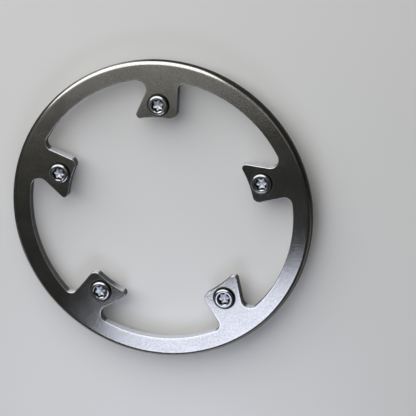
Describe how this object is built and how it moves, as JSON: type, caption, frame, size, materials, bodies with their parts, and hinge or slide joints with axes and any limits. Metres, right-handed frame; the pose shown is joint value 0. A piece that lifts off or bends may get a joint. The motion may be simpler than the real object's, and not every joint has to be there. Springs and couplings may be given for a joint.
{
  "type": "chainring guard",
  "caption": "Flat steel guard ring with a rounded rim and inward bolt tabs, flared on one side, held by button-head bolts on a bolt circle.",
  "frame": {"origin": "centre of the bolt circle, on the back face that seats on the chainring", "axes": "+Z along the guard's axis out of the front face, where the bolt heads are; +Y from the axis to one of the bolts"},
  "size_m": [0.133, 0.133, 0.0117],
  "materials": {
    "tumbled_steel": "satin, tumbled stainless steel with soft edges",
    "polished_steel": "polished stainless steel"
  },
  "bodies": {
    "root": {"guard_ring": "tumbled_steel", "bolt_1": "polished_steel", "bolt_2": "polished_steel", "bolt_3": "polished_steel", "bolt_4": "polished_steel", "bolt_5": "polished_steel"}
  },
  "joints": []
}
